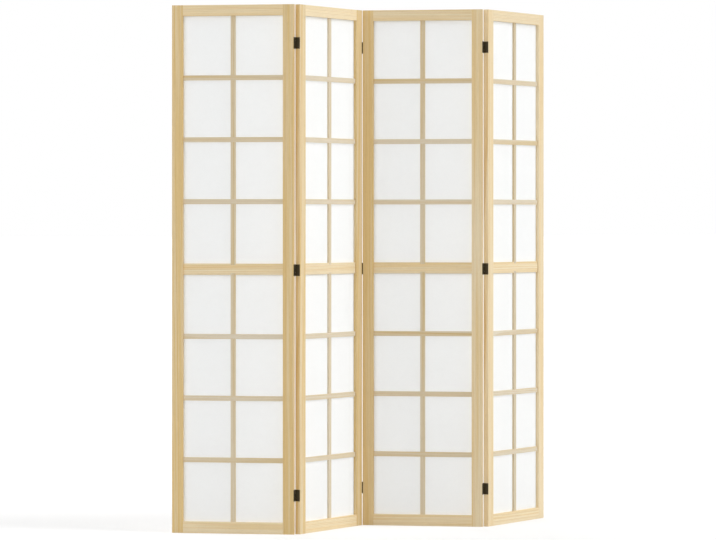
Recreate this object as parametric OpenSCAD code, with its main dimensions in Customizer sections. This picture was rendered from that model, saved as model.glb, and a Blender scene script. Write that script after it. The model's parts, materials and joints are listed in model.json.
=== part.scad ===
// Folding screen of four hinged panels. Each panel is a pine frame with a lattice of flat strips in front
// of two sheets of paper. The panels stand in a zigzag along X, and their fronts face -Y.
// The origin is on the floor, below the middle of the screen.

/* [Panels] */
// Width of one panel, over its stiles
panel_w = 400; // [300:5:600]
// Height of a panel
panel_h = 1700; // [1200:10:2000]
// Thickness of the frame
panel_t = 17; // [15:0.5:24]
// Angle that each joint stands away from flat
fold_angle = 70; // [20:1:120]
// Width of the softened edges down the outer side of each stile
edge_chamfer = 0.4; // [0.3:0.1:1]

/* [Frame] */
// Width of a stile
stile_w = 36; // [30:1:50]
// Height of the top rail
top_rail_h = 35; // [30:1:60]
// Height of the middle rail
mid_rail_h = 36; // [30:1:60]
// Height of the bottom rail
bottom_rail_h = 37; // [30:1:60]
// Thickness of a rail's tenon
tenon_t = 6; // [4:0.5:7]
// Wood left between a tenon and the rabbet beside it
tenon_margin = 1; // [0.5:0.5:3]
// Wood left between the end of a tenon and the hinge screws in the other side of the stile
screw_guard = 1.5; // [1:0.5:6]
// Play on each side of a wood joint
wood_play = 0.1; // [0.05:0.05:0.2]

/* [Lattice and paper] */
// Panes side by side in a panel
pane_columns = 2; // [2:1:4]
// Panes one above the other in each half of a panel
pane_rows = 4; // [2:1:6]
// Width of the lattice strips
strip_w = 16; // [10:1:24]
// Thickness of the lattice strips
strip_t = 6; // [3:0.5:8]
// Depth of the notches in the frame that hold the ends of the strips
notch_l = 5; // [3:0.5:5.5]
// Thickness of the frame in front of the paper
ledge_t = 11; // [8:0.5:12]
// Width of the rabbet behind that ledge
rabbet_w = 6; // [5:0.5:8]
// Thickness of a sheet of paper
paper_t = 0.4; // [0.2:0.1:1]
// Gap between the edge of a sheet and the rabbet
paper_inset = 0.4; // [0.2:0.1:1]
// Depth of the beads below the back of the frame
bead_sink = 0.5; // [0.2:0.1:2]

/* [Hinges] */
// Hinges on each joint
hinges_per_joint = 3; // [2:1:4]
// Distance from either end of a panel to the middle of its first hinge
hinge_inset = 124; // [60:2:250]
// Distance of the hinges between those two below their even spacing
inner_hinge_drop = 3; // [0:0.5:8]
// Height of a hinge
hinge_h = 37; // [30:1:60]
// Thickness of a hinge leaf, which lies flush in the side of its stile
leaf_t = 1.1; // [0.8:0.1:1.3]
// Distance from the free edge of a leaf to the far face of the panel
leaf_margin = 0.5; // [0.5:0.25:6]
// Gap between two panels when they lie flat
panel_gap = 0.8; // [0.6:0.1:1.2]
// Diameter of the knuckles
knuckle_d = 3.1; // [3:0.1:5]
// Knuckles on one hinge
knuckle_count = 3; // [3:2:7]
// Gap between neighbouring knuckles, and round a knuckle's sweep
knuckle_play = 0.2; // [0.1:0.05:0.4]
// Diameter of a hinge pin
pin_d = 1.5; // [1.2:0.1:2]
// Play round a hinge pin
pin_play = 0.05; // [0.02:0.01:0.08]
// Height of a pin's riveted end
rivet_h = 0.5; // [0.3:0.1:1]

/* [Screws] */
// Screws in each leaf
screws_per_leaf = 2; // [2:1:3]
// Distance from the first screw of a leaf to the last
screw_span = 20; // [14:1:26]
// Length of a screw
screw_l = 14; // [8:1:18]
// Diameter of a screw's shank
screw_d = 2.4; // [2:0.1:2.8]
// Diameter of a screw's countersunk head
screw_head_d = 4.2; // [3.8:0.1:4.3]
// Length of a screw's point
screw_tip_l = 2.5; // [1:0.5:4]
// Depth of a pilot hole past that point
pilot_past = 0.5; // [0.2:0.1:1]
// Depth of a screw's head below the face of its leaf
head_sink = 0.05; // [0.02:0.01:0.1]
// Width of the cross cut in a screw's head
cross_w = 0.5; // [0.3:0.1:0.8]
// Length of that cross
cross_l = 2.4; // [1.5:0.1:3]
// Depth of that cross
cross_depth = 0.4; // [0.2:0.1:0.6]

/* [Hidden] */
$fn = 48;
panel_count = 4;
PANEL_PIECES = ["left_stile", "right_stile", "top_rail", "mid_rail", "bottom_rail", "upper_muntin",
    "lower_muntin", "cross_bars", "upper_paper", "lower_paper", "beads"];
JOINT_PIECES = ["left_leaves", "right_leaves", "pins", "left_screws", "right_screws"];
function panel_node(n, piece) = str("panel_", n, "_", piece);
function joint_node(j, piece) = str("hinges_", j, "_", j + 1, "_", piece);

pine = [0.87, 0.75, 0.57];
strip_pine = [0.84, 0.71, 0.52];
bead_pine = [0.90, 0.79, 0.62];
paper_white = [0.97, 0.97, 0.95];
black_metal = [0.16, 0.13, 0.10];
// How far a cutting block runs past the face that it opens
past = 1;

// Openings of a panel as [bottom, top], the lower one first
mid_rail_z = (panel_h - mid_rail_h) / 2;
lower_opening = [bottom_rail_h, mid_rail_z];
upper_opening = [mid_rail_z + mid_rail_h, panel_h - top_rail_h];
openings = [lower_opening, upper_opening];
opening_w = panel_w - 2 * stile_w;
inner_left = stile_w;
inner_right = panel_w - stile_w;

// Middles of the strips
function bar_heights(opening) = [
    for (row = [1 : pane_rows - 1]) opening[0] + row * (opening[1] - opening[0]) / pane_rows
];
all_bar_heights = [each bar_heights(lower_opening), each bar_heights(upper_opening)];
muntin_places = [for (column = [1 : pane_columns - 1]) inner_left + column * opening_w / pane_columns];

// Depths, counted from the front of a panel. The middle rail lies back, level with the strips
strip_front = ledge_t - strip_t;
mid_rail_front = strip_front;
lap_face = ledge_t - strip_t / 2;
paper_back = ledge_t + paper_t;
bead_back = panel_t - bead_sink;
function tenon_front(rail_front) = (rail_front + panel_t - tenon_t) / 2;
tenon_rise = rabbet_w + tenon_margin;
tenon_l = stile_w - screw_l - pilot_past - screw_guard;

// Hinges: a pin's axis lies midway between two panels, just far enough out from their faces for the
// knuckles to turn past the corner of the cut that holds a leaf
sweep_r = knuckle_d / 2 + knuckle_play;
axis_proud = sqrt(max(0, pow(sweep_r, 2) - pow(leaf_t + panel_gap / 2, 2)));
leaf_w = panel_t - leaf_margin;
leaf_reach = axis_proud + leaf_w;
knuckle_h = hinge_h / knuckle_count;
hinge_heights = [
    for (k = [0 : hinges_per_joint - 1])
        hinge_inset + k * (panel_h - 2 * hinge_inset) / (hinges_per_joint - 1)
            - (k > 0 && k < hinges_per_joint - 1 ? inner_hinge_drop : 0)
];
screw_heights = [
    for (k = [0 : screws_per_leaf - 1]) screw_span * (k / (screws_per_leaf - 1) - 1 / 2)
];
head_h = (screw_head_d - screw_d) / 2;
tip_r = 0.2;

// Odd joints have their knuckles at the back of the panels, even ones at the front
function at_back(j) = j % 2 == 1;
function axis_depth(j) = at_back(j) ? panel_t + axis_proud : -axis_proud;

// Plan of the zigzag: each panel is turned about the joint that it shares with the one before
function turned(p, angle) =
    [p.x * cos(angle) - p.y * sin(angle), p.x * sin(angle) + p.y * cos(angle)];
function panel_angle(n) = (n % 2 == 1 ? -1 : 1) * fold_angle / 2;
function chain_foot(n) = n == 1 ? [0, 0]
    : chain_foot(n - 1)
        + turned([panel_w + panel_gap / 2, axis_depth(n - 1)], panel_angle(n - 1))
        - turned([-panel_gap / 2, axis_depth(n - 1)], panel_angle(n));
panel_plan = [
    [edge_chamfer, 0], [panel_w - edge_chamfer, 0], [panel_w, edge_chamfer],
    [panel_w, panel_t - edge_chamfer], [panel_w - edge_chamfer, panel_t],
    [edge_chamfer, panel_t], [0, panel_t - edge_chamfer], [0, edge_chamfer]
];
plan_points = [
    for (n = [1 : panel_count]) for (p = panel_plan) chain_foot(n) + turned(p, panel_angle(n))
];
function middle(values) = (min(values) + max(values)) / 2;
plan_middle = [middle([for (p = plan_points) p.x]), middle([for (p = plan_points) p.y])];

// Puts a piece drawn in a panel's own frame, front at y = 0 and left side at x = 0, in its place
module in_panel(n) {
    foot = chain_foot(n) - plan_middle;
    translate([foot.x, foot.y, 0]) rotate([0, 0, panel_angle(n)]) children();
}

module block(low, high) {
    translate(low) cube(high - low);
}

// Frame

module stile_blank() {
    linear_extrude(panel_h) polygon([
        [edge_chamfer, 0], [stile_w, 0], [stile_w, panel_t], [edge_chamfer, panel_t],
        [0, panel_t - edge_chamfer], [0, edge_chamfer]
    ]);
}

module stile_rabbet(opening) {
    block([stile_w - rabbet_w, ledge_t, opening[0] - rabbet_w],
        [stile_w + past, panel_t + past, opening[1] + rabbet_w]);
}

module strip_notch(z) {
    half = strip_w / 2 + wood_play;
    block([stile_w - notch_l, strip_front, z - half], [stile_w + past, ledge_t + past, z + half]);
}

module mortise(rail_bottom, rail_h, rail_front) {
    front = tenon_front(rail_front);
    block([stile_w - tenon_l - wood_play, front - wood_play, rail_bottom + tenon_rise - wood_play],
        [stile_w + past, front + tenon_t + wood_play, rail_bottom + rail_h - tenon_rise + wood_play]);
}

// The shallow cuts across a stile's outer side that hold the hinge leaves, and their pilot holes
module hinge_seats(j) {
    half = hinge_h / 2 + wood_play;
    depth = at_back(j) ? panel_t - leaf_w / 2 : leaf_w / 2;
    for (z = hinge_heights) {
        block([-past, -past, z - half], [leaf_t, panel_t + past, z + half]);
        for (dz = screw_heights) translate([0, depth, z + dz]) rotate([0, 90, 0])
            cylinder(h = screw_l + pilot_past, d = screw_d + 2 * wood_play);
    }
}

// A left stile, for a joint j that has its screws in the outer side, or for none
module stile(j) {
    difference() {
        stile_blank();
        for (opening = openings) stile_rabbet(opening);
        for (z = all_bar_heights) strip_notch(z);
        mortise(0, bottom_rail_h, 0);
        mortise(mid_rail_z, mid_rail_h, mid_rail_front);
        mortise(panel_h - top_rail_h, top_rail_h, 0);
        if (j >= 1 && j < panel_count) hinge_seats(j);
    }
}

module left_stile(n) {
    color(pine) in_panel(n) stile(n - 1);
}

module right_stile(n) {
    color(pine) in_panel(n) translate([panel_w, 0, 0]) mirror([1, 0, 0]) stile(n);
}

// A rail with its front at a depth, and with a rabbet and the muntins' notches along each edge that
// borders an opening
module rail(bottom, height, front, opens_below, opens_above) {
    top = bottom + height;
    half = strip_w / 2 + wood_play;
    notch_front = front < strip_front ? strip_front : front - past;
    edges = [
        if (opens_below) [bottom - past, bottom + rabbet_w, bottom + notch_l],
        if (opens_above) [top + past, top - rabbet_w, top - notch_l]
    ];
    difference() {
        union() {
            block([inner_left, front, bottom], [inner_right, panel_t, top]);
            block([inner_left - tenon_l, tenon_front(front), bottom + tenon_rise],
                [inner_right + tenon_l, tenon_front(front) + tenon_t, top - tenon_rise]);
        }
        for (edge = edges) {
            block([inner_left - past, ledge_t, min(edge[0], edge[1])],
                [inner_right + past, panel_t + past, max(edge[0], edge[1])]);
            for (x = muntin_places)
                block([x - half, notch_front, min(edge[0], edge[2])],
                    [x + half, ledge_t + past, max(edge[0], edge[2])]);
        }
    }
}

module top_rail(n) {
    color(pine) in_panel(n) rail(panel_h - top_rail_h, top_rail_h, 0, true, false);
}

module mid_rail(n) {
    color(pine) in_panel(n) rail(mid_rail_z, mid_rail_h, mid_rail_front, true, true);
}

module bottom_rail(n) {
    color(pine) in_panel(n) rail(0, bottom_rail_h, 0, false, true);
}

// Lattice: the cross bars pass in front of the muntins, with half of each cut away where they meet

module muntins(opening) {
    seat = notch_l - wood_play;
    half = strip_w / 2 + wood_play;
    for (x = muntin_places) difference() {
        block([x - strip_w / 2, strip_front, opening[0] - seat],
            [x + strip_w / 2, ledge_t, opening[1] + seat]);
        for (z = bar_heights(opening))
            block([x - strip_w, strip_front - past, z - half], [x + strip_w, lap_face, z + half]);
    }
}

module upper_muntin(n) {
    color(strip_pine) in_panel(n) muntins(upper_opening);
}

module lower_muntin(n) {
    color(strip_pine) in_panel(n) muntins(lower_opening);
}

module cross_bars(n) {
    seat = notch_l - wood_play;
    half = strip_w / 2 + wood_play;
    color(strip_pine) in_panel(n) for (z = all_bar_heights) difference() {
        block([inner_left - seat, strip_front, z - strip_w / 2],
            [inner_right + seat, ledge_t, z + strip_w / 2]);
        for (x = muntin_places)
            block([x - half, lap_face, z - strip_w], [x + half, ledge_t + past, z + strip_w]);
    }
}

// Paper and the beads behind it

module paper(opening) {
    reach = rabbet_w - paper_inset;
    block([inner_left - reach, ledge_t, opening[0] - reach],
        [inner_right + reach, paper_back, opening[1] + reach]);
}

module upper_paper(n) {
    color(paper_white) in_panel(n) paper(upper_opening);
}

module lower_paper(n) {
    color(paper_white) in_panel(n) paper(lower_opening);
}

// Four beads round an opening. The upright ones run past the ends of the level ones
module bead_frame(opening) {
    reach = rabbet_w - wood_play;
    for (x = [inner_left - reach, inner_right])
        block([x, paper_back, opening[0] - reach], [x + reach, bead_back, opening[1] + reach]);
    for (z = [opening[0] - reach, opening[1]])
        block([inner_left + wood_play, paper_back, z], [inner_right - wood_play, bead_back, z + reach]);
}

module beads(n) {
    color(bead_pine) in_panel(n) for (opening = openings) bead_frame(opening);
}

// Hinges, drawn for a left panel that ends at x = -panel_gap / 2, with the pin along Z at the origin
// and the panel's face at y = -axis_proud

module in_hinges(j, on_right) {
    n = on_right ? j + 1 : j;
    x = on_right ? -panel_gap / 2 : panel_w + panel_gap / 2;
    in_panel(n) for (z = hinge_heights)
        translate([x, axis_depth(j), z])
            mirror([on_right ? 1 : 0, 0, 0]) mirror([0, at_back(j) ? 0 : 1, 0]) children();
}

module at_screws() {
    for (z = screw_heights)
        translate([-panel_gap / 2, -axis_proud - leaf_w / 2, z]) rotate([0, 90, 0]) children();
}

module screw_hole() {
    translate([0, 0, -leaf_t - past]) cylinder(h = leaf_t + 2 * past, d = screw_d + 2 * wood_play);
    translate([0, 0, -head_sink - head_h])
        cylinder(h = head_h, d1 = screw_d + 2 * wood_play, d2 = screw_head_d + 2 * wood_play);
    translate([0, 0, -head_sink]) cylinder(h = head_sink + past, d = screw_head_d + 2 * wood_play);
}

// The left leaf holds every second knuckle from the bottom up, the right leaf the others
module leaf(first_knuckle) {
    right = -panel_gap / 2;
    left = right - leaf_t;
    difference() {
        union() {
            block([left, -leaf_reach, -hinge_h / 2], [right, -sweep_r, hinge_h / 2]);
            for (k = [first_knuckle : 2 : knuckle_count - 1]) {
                low = -hinge_h / 2 + k * knuckle_h + (k > 0 ? knuckle_play / 2 : 0);
                high = -hinge_h / 2 + (k + 1) * knuckle_h - (k < knuckle_count - 1 ? knuckle_play / 2 : 0);
                translate([0, 0, low]) cylinder(h = high - low, d = knuckle_d);
                block([left, -sweep_r - leaf_t, low], [right, 0, high]);
            }
        }
        translate([0, 0, -hinge_h / 2 - past]) cylinder(h = hinge_h + 2 * past, d = pin_d + 2 * pin_play);
        at_screws() screw_hole();
    }
}

module left_leaves(j) {
    color(black_metal) in_hinges(j, false) leaf(0);
}

module right_leaves(j) {
    color(black_metal) in_hinges(j, true) leaf(1);
}

module pins(j) {
    bore_d = pin_d + 2 * pin_play;
    rivet_d = (bore_d + knuckle_d) / 2;
    color(black_metal) in_hinges(j, false) {
        translate([0, 0, -hinge_h / 2]) cylinder(h = hinge_h, d = pin_d);
        translate([0, 0, hinge_h / 2]) cylinder(h = rivet_h, d1 = rivet_d, d2 = pin_d);
        translate([0, 0, -hinge_h / 2 - rivet_h]) cylinder(h = rivet_h, d1 = pin_d, d2 = rivet_d);
    }
}

// A countersunk screw along Z, with its head's face at z = -head_sink and its point below
module screw() {
    difference() {
        rotate_extrude() polygon([
            [0, -head_sink], [screw_head_d / 2, -head_sink], [screw_d / 2, -head_sink - head_h],
            [screw_d / 2, screw_tip_l - screw_l], [tip_r, -screw_l], [0, -screw_l]
        ]);
        for (size = [[cross_l, cross_w], [cross_w, cross_l]])
            block([-size.x / 2, -size.y / 2, -head_sink - cross_depth], [size.x / 2, size.y / 2, past]);
    }
}

module left_screws(j) {
    color(black_metal) in_hinges(j, false) at_screws() screw();
}

module right_screws(j) {
    color(black_metal) in_hinges(j, true) at_screws() screw();
}

for (n = [1 : panel_count]) {
    left_stile(n);
    right_stile(n);
    top_rail(n);
    mid_rail(n);
    bottom_rail(n);
    upper_muntin(n);
    lower_muntin(n);
    cross_bars(n);
    upper_paper(n);
    lower_paper(n);
    beads(n);
}
for (j = [1 : panel_count - 1]) {
    left_leaves(j);
    right_leaves(j);
    pins(j);
    left_screws(j);
    right_screws(j);
}
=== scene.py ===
import json
import math
import random

import bpy
from mathutils import Matrix

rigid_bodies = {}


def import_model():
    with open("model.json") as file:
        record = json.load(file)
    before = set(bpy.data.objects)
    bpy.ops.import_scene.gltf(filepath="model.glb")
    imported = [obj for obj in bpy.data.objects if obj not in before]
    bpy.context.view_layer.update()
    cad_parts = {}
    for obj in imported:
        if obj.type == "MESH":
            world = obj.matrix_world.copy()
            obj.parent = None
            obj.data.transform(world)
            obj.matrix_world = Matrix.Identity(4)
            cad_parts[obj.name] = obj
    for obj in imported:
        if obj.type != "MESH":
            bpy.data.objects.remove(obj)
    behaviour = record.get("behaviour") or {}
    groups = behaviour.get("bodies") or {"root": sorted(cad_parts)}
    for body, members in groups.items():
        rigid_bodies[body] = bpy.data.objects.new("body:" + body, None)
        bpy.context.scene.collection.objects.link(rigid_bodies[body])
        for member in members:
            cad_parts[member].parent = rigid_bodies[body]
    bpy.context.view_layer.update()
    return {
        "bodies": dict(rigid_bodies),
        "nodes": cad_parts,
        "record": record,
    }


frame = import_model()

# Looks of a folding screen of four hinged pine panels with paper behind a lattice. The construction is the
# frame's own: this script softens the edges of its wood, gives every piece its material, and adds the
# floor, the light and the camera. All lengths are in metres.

NODES = frame["nodes"]
PANELS = sorted(frame["bodies"])
MM = 0.001

# Angle of each joint as the screen stands
FOLD = math.radians(70)

# Camera: level, at the height and the angle of the photograph
CAMERA_PLACE = (-5.0052, -10.5912, 1.0210)
CAMERA_YAW = math.radians(-25.002)
CAMERA_LENS, CAMERA_SENSOR = 179.777, 36.0
CAMERA_SHIFT = -0.07546
CAMERA_RANGE = 500.0

# Light: a level of 1 shows a surface in the colour that is written for it
WORLD_LEVEL = 0.45
KEY_LEVEL, KEY_TURN, KEY_HEIGHT = 0.53, math.radians(52), math.radians(38)
FILL_LEVEL, FILL_TURN, FILL_HEIGHT = 0.24, math.radians(-65), math.radians(35)
BACK_LEVEL, BACK_TURN, BACK_HEIGHT = 0.615, math.radians(184), math.radians(25)
KEY_SOFTNESS, WIDE_SOFTNESS = math.radians(30), math.radians(60)

# Floor: the colour of its surface, its own glow where it is seen, and how far it reaches
FLOOR_TONE, FLOOR_LIFT, FLOOR_REACH = 0.60, 0.40, 150.0


# Node tools

NOISE_MEAN = 0.5


def new_material(name):
    """An empty node material, and its tree."""
    material = bpy.data.materials.new(name)
    material.use_nodes = True
    material.node_tree.nodes.clear()
    return material, material.node_tree


def add(tree, kind, **settings):
    """A node of that kind. A setting in lower case is an attribute, and wires holds its inputs."""
    wires = settings.pop("wires", {})
    made = tree.nodes.new(kind)
    for key, value in settings.items():
        setattr(made, key, value)
    for key, value in wires.items():
        feed(tree, made.inputs[key], value)
    return made


def feed(tree, socket, value):
    """Links value to the socket if it is a socket, or else writes it there."""
    if isinstance(value, bpy.types.NodeSocket):
        tree.links.new(value, socket)
    else:
        socket.default_value = value


def maths(tree, operation, *values, clamp=False):
    made = add(tree, "ShaderNodeMath", operation=operation, use_clamp=clamp)
    for socket, value in zip(made.inputs, values):
        feed(tree, socket, value)
    return made.outputs[0]


def vector_maths(tree, operation, *values):
    made = add(tree, "ShaderNodeVectorMath", operation=operation)
    for socket, value in zip(made.inputs, values):
        feed(tree, socket, value)
    return made.outputs["Value" if operation in ("LENGTH", "DOT_PRODUCT") else "Vector"]


def scaled(tree, vector, factors):
    return vector_maths(tree, "MULTIPLY", vector, factors)


def step_between(tree, value, span, ends=(0.0, 1.0)):
    """A smooth step from the first of ends to the second, while value crosses span."""
    made = add(tree, "ShaderNodeMapRange", interpolation_type="SMOOTHSTEP", clamp=True)
    for key, given in zip(("Value", "From Min", "From Max", "To Min", "To Max"), (value, *span, *ends)):
        feed(tree, made.inputs[key], given)
    return made.outputs["Result"]


def noise(tree, vector, repeats, detail=2.0, roughness=0.5):
    """Smooth noise about NOISE_MEAN. repeats says how often it changes per metre along each axis."""
    return add(tree, "ShaderNodeTexNoise", noise_dimensions="3D",
               wires={"Vector": scaled(tree, vector, repeats), "Scale": 1.0, "Detail": detail,
                      "Roughness": roughness})


def drift(tree, vector, repeats, reach):
    """Offsets that wander about 0 by up to half of reach along each axis."""
    about = noise(tree, vector, repeats).outputs["Color"]
    return scaled(tree, vector_maths(tree, "SUBTRACT", about, (NOISE_MEAN,) * 3), reach)


def blended(tree, factor, first, second, blend_type="MIX"):
    made = add(tree, "ShaderNodeMix", data_type="RGBA", blend_type=blend_type, clamp_factor=True)
    feed(tree, made.inputs["Factor"], factor)
    feed(tree, made.inputs[6], first)
    feed(tree, made.inputs[7], second)
    return made.outputs[2]


def colour(red, green, blue):
    return (red, green, blue, 1.0)


def bumped(tree, height, depth, strength):
    """Normals of a surface that rises by depth where height rises by 1."""
    return add(tree, "ShaderNodeBump",
               wires={"Strength": strength, "Distance": depth, "Height": height}).outputs[0]


def finished(material, tree, shader):
    """The material, once that shader is on its surface."""
    out_node = add(tree, "ShaderNodeOutputMaterial")
    tree.links.new(shader.outputs[0], out_node.inputs["Surface"])
    return material


# Wood

# Patterns of the grain: growth rings, 0 in the pale early wood to 1 in the late wood, fine lengthwise fibres
# and broad bands along the board, both about NOISE_MEAN, and short dark resin canals, 0 or 1
GRAIN_OUT = ("Late", "Fibre", "Band", "Pore")

# How often each pattern changes per metre, twice across the log and once along it
WANDER_REPEATS, BAND_REPEATS = (9.0, 9.0, 1.6), (105.0, 105.0, 1.3)
FIBRE_REPEATS, PORE_REPEATS = (1100.0, 1100.0, 22.0), (2600.0, 2600.0, 90.0)

# Growth rings: how far they stray from circles, the faintest late wood, and the parts of a year in which
# late wood darkens and ends. A resin canal lies where its noise crosses the last span
RING_WANDER = (12 * MM, 12 * MM, 0.0)
FAINTEST_LATE = 0.35
LATE_RISE, LATE_FALL = (0.25, 0.92), (0.93, 1.0)
PORE_EDGE = (0.72, 0.80)


def make_grain():
    """A node group: the pattern of a pine board sawn from a log. Its vector has Z along the log."""
    tree = bpy.data.node_groups.new("pine grain", "ShaderNodeTree")
    for name in ("Place", "Pith", "Log"):
        tree.interface.new_socket(name, in_out="INPUT", socket_type="NodeSocketVector")
    tree.interface.new_socket("Pitch", in_out="INPUT", socket_type="NodeSocketFloat")
    for name in GRAIN_OUT:
        tree.interface.new_socket(name, in_out="OUTPUT", socket_type="NodeSocketFloat")
    given = add(tree, "NodeGroupInput").outputs
    result = add(tree, "NodeGroupOutput").inputs

    place = vector_maths(tree, "ADD", given["Place"], given["Log"])
    wander = drift(tree, place, WANDER_REPEATS, RING_WANDER)
    across = vector_maths(tree, "ADD", vector_maths(tree, "SUBTRACT", given["Place"], given["Pith"]), wander)
    across = scaled(tree, across, (1.0, 1.0, 0.0))
    rings = maths(tree, "DIVIDE", vector_maths(tree, "LENGTH", across), given["Pitch"])
    year = maths(tree, "FLOOR", rings)
    within = maths(tree, "FRACT", rings)
    years = add(tree, "ShaderNodeTexWhiteNoise", noise_dimensions="1D", wires={"W": year}).outputs["Value"]
    strength = maths(tree, "MULTIPLY_ADD", years, 1.0 - FAINTEST_LATE, FAINTEST_LATE)
    rise = step_between(tree, within, LATE_RISE)
    fall = step_between(tree, within, LATE_FALL, (1.0, 0.0))
    late = maths(tree, "MULTIPLY", maths(tree, "MULTIPLY", rise, fall), strength)
    feed(tree, result["Late"], late)
    fibre = noise(tree, place, FIBRE_REPEATS, detail=3.0, roughness=0.6)
    feed(tree, result["Fibre"], fibre.outputs["Fac"])
    band = noise(tree, place, BAND_REPEATS, roughness=0.55)
    feed(tree, result["Band"], band.outputs["Fac"])
    pore = noise(tree, place, PORE_REPEATS, detail=0.0)
    feed(tree, result["Pore"], step_between(tree, pore.outputs["Fac"], PORE_EDGE))
    return tree


GRAIN = make_grain()


def in_panel(tree, panel_angle):
    """Coordinates along the panel, through it and upward, in metres."""
    place = add(tree, "ShaderNodeTexCoord").outputs["Object"]
    return add(tree, "ShaderNodeMapping", vector_type="POINT",
               wires={"Vector": place, "Rotation": (0.0, 0.0, -panel_angle)}).outputs[0]


def turned_grain(tree, square, lean, level):
    """Those coordinates with Z along the grain. level is 0 for a standing piece and 1 for a level one."""
    made = add(tree, "ShaderNodeMix", data_type="VECTOR", clamp_factor=True)
    feed(tree, made.inputs[0], level)
    for key, laid in ((4, 0.0), (5, math.pi / 2)):
        turned = add(tree, "ShaderNodeMapping", vector_type="POINT",
                     wires={"Vector": square, "Rotation": (lean[0], laid + lean[1], 0.0)})
        feed(tree, made.inputs[key], turned.outputs[0])
    return made.outputs[1]


# Boards: how far their grain leans, how far to a side and how far behind or in front of the panel the pith
# of their log lies, and how far their patterns are shifted
MOST_LEAN = 0.012
PITH_SIDE, PITH_DEPTH = 0.9, (0.03, 0.12)
LOG_SHIFT = 9

# Gold: how far it spreads in a board, and how often it changes up a panel where the boards are mixed
GOLD_SPREAD = 0.36
SORT_REPEATS, SORT_SPAN = (0.0, 0.0, 6.0), (0.3, 0.7)

# What fibres and bands do to the brightness, and fibres to the roughness, across those spans of their noise
FIBRE_SPAN, FIBRE_TONE = (0.25, 0.75), (0.94, 1.06)
BAND_SPAN, BAND_TONE = (0.35, 0.65), (0.985, 1.015)
SHEEN_SPAN, WOOD_ROUGHNESS = (0.2, 0.8), (0.62, 0.48)

# Resin canals: colour and strength. Relief: what late wood adds to that of the fibres, and its height
RESIN, PORE_SHOW = (0.42, 0.25, 0.11), 0.35
LATE_RELIEF, GRAIN_DEPTH = 0.6, 0.06 * MM


def wood(node, panel_angle, level, stock, gold, tone, mixed):
    """Pale pine under a thin matt lacquer, another board for each node. gold runs from 0 for pale sapwood to
    1 for golden heartwood, and tone scales its brightness. level may be a function that builds it. mixed is
    how far gold differs between pieces at different heights."""
    draw = random.Random(f"board {node}")
    pitch, sapwood, heartwood = stock
    material, tree = new_material(f"pine {node}")
    square = in_panel(tree, panel_angle)
    lean = (draw.uniform(-MOST_LEAN, MOST_LEAN), draw.uniform(-MOST_LEAN, MOST_LEAN))
    across = level(tree, square) if callable(level) else float(level)
    along = turned_grain(tree, square, lean, across)
    pith = (draw.uniform(-PITH_SIDE, PITH_SIDE), draw.choice((-1, 1)) * draw.uniform(*PITH_DEPTH), 0.0)
    log = tuple(draw.uniform(-LOG_SHIFT, LOG_SHIFT) for axis in range(3))
    grain = add(tree, "ShaderNodeGroup", node_tree=GRAIN)
    for key, value in (("Place", along), ("Pith", pith), ("Log", log), ("Pitch", pitch)):
        feed(tree, grain.inputs[key], value)
    out = grain.outputs

    golden = step_between(tree, out["Band"], BAND_SPAN, (gold - GOLD_SPREAD, gold + GOLD_SPREAD))
    if mixed:
        sort = noise(tree, vector_maths(tree, "ADD", square, log), SORT_REPEATS, detail=0.0).outputs["Fac"]
        golden = maths(tree, "ADD", golden, step_between(tree, sort, SORT_SPAN, (-mixed, mixed)))
    base = blended(tree, golden, colour(*sapwood), colour(*heartwood))
    base = blended(tree, out["Late"], base, colour(*LATE_WOOD), "MULTIPLY")
    fibre = step_between(tree, out["Fibre"], FIBRE_SPAN, tuple(share * tone for share in FIBRE_TONE))
    band = step_between(tree, out["Band"], BAND_SPAN, BAND_TONE)
    base = blended(tree, 1.0, base, maths(tree, "MULTIPLY", fibre, band), "MULTIPLY")
    base = blended(tree, maths(tree, "MULTIPLY", out["Pore"], PORE_SHOW), base, colour(*RESIN))
    rough = step_between(tree, out["Fibre"], SHEEN_SPAN, WOOD_ROUGHNESS)
    height = maths(tree, "MULTIPLY_ADD", out["Late"], LATE_RELIEF, out["Fibre"])
    height = maths(tree, "SUBTRACT", height, out["Pore"])
    shader = add(tree, "ShaderNodeBsdfPrincipled",
                 wires={"Base Color": base, "Roughness": rough, "Specular IOR Level": 0.35,
                        "Normal": bumped(tree, height, GRAIN_DEPTH, strength=0.35)})
    return finished(material, tree, shader)


# Paper

# Colour, the share of light that goes through a sheet, and its roughness
PAPER_WHITE, PAPER_THROUGH, PAPER_ROUGHNESS = (0.987, 0.992, 0.991), 0.7, 0.85

# Pulp: how often it changes per metre, the span of its noise, and how much darker it gets
PULP_REPEATS, PULP_SPAN, PULP_SHADE = (45.0, 45.0, 45.0), (0.3, 0.7), 0.01

# Strands: how often the two sorts change per metre, their width in the noise, how much darker they are, and
# how often and how far they bend
STRAND_REPEATS = ((500.0, 500.0, 60.0), (90.0, 90.0, 420.0))
STRAND_W, STRAND_SHADE = 0.03, 0.025
BEND_REPEATS, BEND_REACH = (30.0, 30.0, 30.0), (30 * MM, 30 * MM, 30 * MM)

# Relief: what strands add to that of the pulp, and its height
STRAND_RELIEF, PAPER_DEPTH = 0.5, 0.08 * MM


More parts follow.
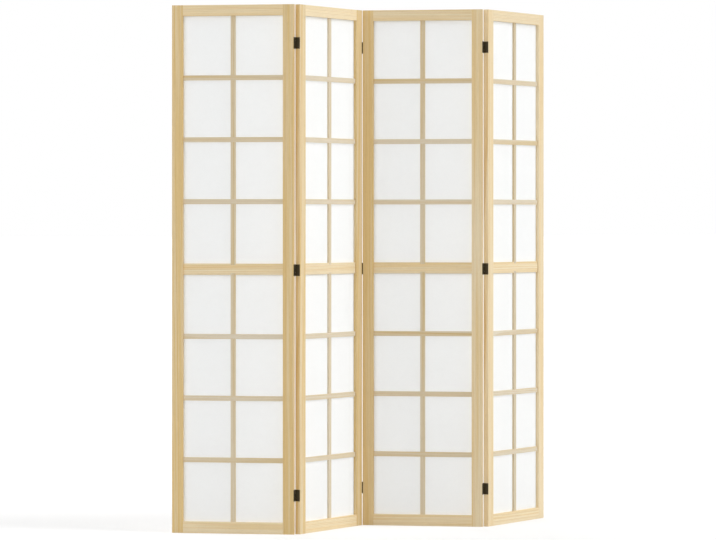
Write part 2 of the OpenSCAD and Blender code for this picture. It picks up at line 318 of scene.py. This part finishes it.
def paper(name, tone):
    """Matt white paper with long fibres in it. Most of the light that meets a sheet goes through."""
    material, tree = new_material(name)
    place = add(tree, "ShaderNodeTexCoord").outputs["Object"]
    bent = vector_maths(tree, "ADD", place, drift(tree, place, BEND_REPEATS, BEND_REACH))
    strands = []
    for repeats in STRAND_REPEATS:
        fine = noise(tree, bent, repeats, roughness=0.6).outputs["Fac"]
        ridge = maths(tree, "ABSOLUTE", maths(tree, "SUBTRACT", fine, NOISE_MEAN))
        strands.append(step_between(tree, ridge, (0.0, STRAND_W), (1.0, 0.0)))
    strand = maths(tree, "MAXIMUM", *strands)
    cloud = noise(tree, place, PULP_REPEATS, detail=4.0, roughness=0.6).outputs["Fac"]
    pulp = step_between(tree, cloud, PULP_SPAN)
    shade = maths(tree, "MULTIPLY_ADD", pulp, PULP_SHADE, 1.0 - PULP_SHADE)
    shade = maths(tree, "MULTIPLY_ADD", strand, -STRAND_SHADE, shade)
    front = blended(tree, 1.0, colour(*(tone * share for share in PAPER_WHITE)), shade, "MULTIPLY")
    height = maths(tree, "MULTIPLY_ADD", strand, STRAND_RELIEF, pulp)
    normal = bumped(tree, height, PAPER_DEPTH, strength=0.3)
    face = add(tree, "ShaderNodeBsdfPrincipled",
               wires={"Base Color": front, "Roughness": PAPER_ROUGHNESS, "Specular IOR Level": 0.2,
                      "Normal": normal})
    through = add(tree, "ShaderNodeBsdfTranslucent", wires={"Color": front, "Normal": normal})
    both = add(tree, "ShaderNodeMixShader",
               wires={0: PAPER_THROUGH, 1: face.outputs[0], 2: through.outputs[0]})
    return finished(material, tree, both)


# Metal

# Rubbed places: the span of their noise in which they start, and how much of the worn colour they show
RUB_SPAN, RUB_SHOW = (0.60, 0.72), 0.5

# Flecks of the lacquer: how often they change per metre, their height, and what they do to the brightness
# and the roughness across those spans of their noise
FLECK_REPEATS, FLECK_DEPTH = (2500.0, 2500.0, 2500.0), 0.02 * MM
FLECK_SPAN, FLECK_TONE = (0.2, 0.8), (0.85, 1.15)
GLOSS_SPAN, METAL_ROUGHNESS = (0.3, 0.7), (0.36, 0.50)


def lacquered_metal(name, base, worn, wear_repeats):
    """Steel under satin black lacquer that is thin and rubbed in places."""
    material, tree = new_material(name)
    place = add(tree, "ShaderNodeTexCoord").outputs["Object"]
    rub = noise(tree, place, (wear_repeats,) * 3, detail=5.0, roughness=0.65).outputs["Fac"]
    rubbed = step_between(tree, rub, RUB_SPAN)
    fleck = noise(tree, place, FLECK_REPEATS).outputs["Fac"]
    shown = blended(tree, maths(tree, "MULTIPLY", rubbed, RUB_SHOW), colour(*base), colour(*worn))
    shown = blended(tree, 1.0, shown, step_between(tree, fleck, FLECK_SPAN, FLECK_TONE), "MULTIPLY")
    rough = step_between(tree, fleck, GLOSS_SPAN, METAL_ROUGHNESS)
    shader = add(tree, "ShaderNodeBsdfPrincipled",
                 wires={"Base Color": shown, "Roughness": rough, "Specular IOR Level": 0.25,
                        "Normal": bumped(tree, fleck, FLECK_DEPTH, strength=0.25)})
    return finished(material, tree, shader)


# Finishes of the nodes

# Ring pitch, sapwood and heartwood of the frames' pine, and of the strips' paler and finer pine
FRAME_STOCK = (4.6 * MM, (0.920, 0.780, 0.540), (0.815, 0.600, 0.280))
STRIP_STOCK = (2.8 * MM, (0.815, 0.728, 0.575), (0.722, 0.560, 0.300))
LATE_WOOD = (0.89, 0.80, 0.64)
LEVEL_PIECES = ("top_rail", "mid_rail", "bottom_rail", "cross_bars")
STRIPS = ("upper_muntin", "lower_muntin", "cross_bars")

# How golden and how bright the boards of a panel are, and how far each board may differ from that
BOARDS = {"top_rail": (0.10, 0.975), "mid_rail": (0.25, 1.0), "bottom_rail": (0.25, 1.0),
          "beads": (0.15, 1.0), "cross_bars": (0.25, 0.98), "upper_muntin": (0.40, 0.965),
          "lower_muntin": (0.40, 0.965)}
GOLD_DRAW, TONE_DRAW = (-0.06, 0.06), (0.985, 1.015)

# How golden and how bright the boards are that have a look of their own, by panel. The right stile of panel
# 2 and the left stile of panel 3, either side of the fold between them, are more golden and darker partly in
# their own wood and partly as painted shade of that fold
OWN_BOARDS = {1: {"left_stile": (0.90, 0.99), "right_stile": (0.92, 0.97)},
              2: {"left_stile": (0.56, 0.95), "right_stile": (0.66, 0.92), "top_rail": (-0.30, 1.015),
                  "mid_rail": (0.05, 0.965), "cross_bars": (0.10, 0.952), "upper_muntin": (0.06, 0.945),
                  "lower_muntin": (0.06, 0.945)},
              3: {"left_stile": (1.05, 0.95), "right_stile": (0.38, 0.95)},
              4: {"left_stile": (0.15, 0.99), "right_stile": (0.10, 0.98), "upper_muntin": (0.28, 0.885),
                  "lower_muntin": (0.28, 0.885)}}

# How far gold differs between the cross bars of a panel
BAR_MIX = 0.30

# What each panel adds to the gold of its boards, and what it scales the tone of its boards and papers by.
# All
# three are painted light and shade: the gold paints a warm shade on panels 1 and 3, which face away from the
# key lamp, and paler wood on panels 2 and 4, which face it; the tones paint panel 1 lighter, and panel 3 and
# its paper darker in the shade of panel 2
PANEL_PAINTED_WARMTH = {1: 0.08, 2: -0.15, 3: 0.10, 4: -0.12}
PANEL_PAINTED_LIGHT = {1: 1.03, 2: 1.01, 3: 0.97, 4: 1.0}
PAPER_PAINTED_SHADE = {1: 1.0, 2: 1.0, 3: 0.983, 4: 1.0}

# Softened edges: their radius, the least angle of an edge that is softened, and its number of facets. Faces
# that meet at less than FLAT_ANGLE are joined first, and so are vertices closer than WELD_REACH
EDGE_ROUND, EDGE_ANGLE, EDGE_FACETS = 0.3 * MM, math.radians(30), 2
WELD_REACH, FLAT_ANGLE = 0.001 * MM, math.radians(1)
LARGE_FACES_LEAD = 100

# Width of an upright bead with half of the play between it and the ends of the level ones
BEAD_REACH = 5.95 * MM


def put(node, material):
    """Gives a node of the frame one material in place of its own."""
    mesh = NODES[node].data
    mesh.materials.clear()
    mesh.materials.append(material)


def soften(node):
    """Rounds the hard edges of a wooden piece, as sanding does."""
    piece = NODES[node]
    weld = piece.modifiers.new("weld", "WELD")
    weld.merge_threshold = WELD_REACH
    flat = piece.modifiers.new("flat faces", "DECIMATE")
    flat.decimate_type = "DISSOLVE"
    flat.angle_limit = FLAT_ANGLE
    edge = piece.modifiers.new("soft edges", "BEVEL")
    edge.width = EDGE_ROUND
    edge.segments = EDGE_FACETS
    edge.limit_method = "ANGLE"
    edge.angle_limit = EDGE_ANGLE
    edge.use_clamp_overlap = True
    shade = piece.modifiers.new("shading", "WEIGHTED_NORMAL")
    shade.keep_sharp = False
    shade.weight = LARGE_FACES_LEAD


def board(node, piece, number):
    """How golden and how bright the wood of that node is. Boards without a look of their own also take their
    panel's painted warm shade and painted light.
    """
    if piece in OWN_BOARDS[number]:
        return OWN_BOARDS[number][piece]
    gold, tone = BOARDS[piece]
    draw = random.Random(f"tone {node}")
    # The panel's share of gold and tone is painted warm shade and painted light on its wood
    gold += PANEL_PAINTED_WARMTH[number] + draw.uniform(*GOLD_DRAW)
    return gold, tone * PANEL_PAINTED_LIGHT[number] * draw.uniform(*TONE_DRAW)


def level_beads(node, panel_angle):
    """A function that builds 1 in the level beads and 0 in the upright ones, which run past their ends."""
    turn = Matrix.Rotation(-panel_angle, 3, "Z")
    across = [(turn @ vertex.co).x for vertex in NODES[node].data.vertices]
    middle, half = (min(across) + max(across)) / 2, (max(across) - min(across)) / 2

    def build(tree, square):
        place = add(tree, "ShaderNodeSeparateXYZ", wires={0: square}).outputs[0]
        off = maths(tree, "ABSOLUTE", maths(tree, "SUBTRACT", place, middle))
        return maths(tree, "LESS_THAN", off, half - BEAD_REACH)

    return build


def dress_panel(number, body):
    """Gives each piece of a panel its paper or its pine, and softens the edges of the pine."""
    angle = (-1 if number % 2 else 1) * FOLD / 2
    # The tone given to a panel's paper paints shade on the sheets of panel 3
    sheets = paper(f"fibre paper {number}", PAPER_PAINTED_SHADE[number])
    for node in frame["record"]["behaviour"]["bodies"][body]:
        if not node.startswith("panel_"):
            continue
        piece = node.split("_", 2)[2]
        if piece.endswith("paper"):
            put(node, sheets)
            continue
        stock = STRIP_STOCK if piece in STRIPS else FRAME_STOCK
        level = level_beads(node, angle) if piece == "beads" else piece in LEVEL_PIECES
        gold, tone = board(node, piece, number)
        mixed = BAR_MIX if piece == "cross_bars" else 0.0
        put(node, wood(node, angle, level, stock, gold, tone, mixed))
        soften(node)


HINGE = lacquered_metal("black lacquer", base=(0.068, 0.051, 0.024), worn=(0.18, 0.145, 0.09),
                        wear_repeats=420.0)
SCREW = lacquered_metal("blackened screws", base=(0.062, 0.049, 0.029), worn=(0.22, 0.19, 0.14),
                        wear_repeats=900.0)

for order, body_name in enumerate(PANELS, start=1):
    dress_panel(order, body_name)
for node_name in NODES:
    if node_name.startswith("hinges_"):
        put(node_name, SCREW if node_name.endswith("screws") else HINGE)


# Floor, light and camera

def seen_directly(tree):
    """1 for rays that show the surroundings: from the camera, in a gloss or through glass."""
    path = add(tree, "ShaderNodeLightPath").outputs
    shows = maths(tree, "MAXIMUM", path["Is Camera Ray"],
                  maths(tree, "MAXIMUM", path["Is Glossy Ray"], path["Is Transmission Ray"]))
    return maths(tree, "SUBTRACT", shows, path["Is Diffuse Ray"], clamp=True)


def make_world():
    """An even white light from all round, which is plain white where it is seen."""
    world = bpy.data.worlds.new("studio")
    bpy.context.scene.world = world
    world.use_nodes = True
    tree = world.node_tree
    tree.nodes.clear()
    strength = maths(tree, "MULTIPLY_ADD", seen_directly(tree), 1.0 - WORLD_LEVEL, WORLD_LEVEL)
    light = add(tree, "ShaderNodeBackground", wires={"Color": colour(1, 1, 1), "Strength": strength})
    out_node = add(tree, "ShaderNodeOutputWorld")
    tree.links.new(light.outputs[0], out_node.inputs["Surface"])


def make_floor():
    """A wide pale floor. Away from the object's shadow it shows white."""
    mesh = bpy.data.meshes.new("floor")
    corners = [(x * FLOOR_REACH, y * FLOOR_REACH, 0) for x, y in ((-1, -1), (1, -1), (1, 1), (-1, 1))]
    mesh.from_pydata(corners, [], [(0, 1, 2, 3)])
    floor = bpy.data.objects.new("floor", mesh)
    bpy.context.scene.collection.objects.link(floor)
    material, tree = new_material("pale floor")
    matt = add(tree, "ShaderNodeBsdfDiffuse", wires={"Color": colour(*(FLOOR_TONE,) * 3)})
    lift = maths(tree, "MULTIPLY", seen_directly(tree), FLOOR_LIFT)
    glow = add(tree, "ShaderNodeEmission", wires={"Color": colour(1, 1, 1), "Strength": lift})
    both = add(tree, "ShaderNodeAddShader", wires={0: matt.outputs[0], 1: glow.outputs[0]})
    mesh.materials.append(finished(material, tree, both))


def make_lamp(name, level, turn, height, softness):
    """A soft lamp far off. turn is its bearing: 0 in front of the object, 90 degrees on its right."""
    lamp = bpy.data.lights.new(name, "SUN")
    lamp.energy = level * math.pi
    lamp.angle = softness
    made = bpy.data.objects.new(name, lamp)
    made.rotation_euler = (math.pi / 2 - height, 0.0, turn)
    bpy.context.scene.collection.objects.link(made)


def make_camera():
    """The camera of the photograph."""
    data = bpy.data.cameras.new("camera")
    data.sensor_width = CAMERA_SENSOR
    data.lens = CAMERA_LENS
    data.shift_y = CAMERA_SHIFT
    data.clip_end = CAMERA_RANGE
    camera = bpy.data.objects.new("camera", data)
    camera.location = CAMERA_PLACE
    camera.rotation_euler = (math.pi / 2, 0.0, CAMERA_YAW)
    bpy.context.scene.collection.objects.link(camera)
    bpy.context.scene.camera = camera


make_world()
make_floor()
make_lamp("key", KEY_LEVEL, KEY_TURN, KEY_HEIGHT, KEY_SOFTNESS)
make_lamp("fill", FILL_LEVEL, FILL_TURN, FILL_HEIGHT, WIDE_SOFTNESS)
make_lamp("back", BACK_LEVEL, BACK_TURN, BACK_HEIGHT, WIDE_SOFTNESS)
make_camera()
bpy.context.scene.view_settings.view_transform = "Standard"
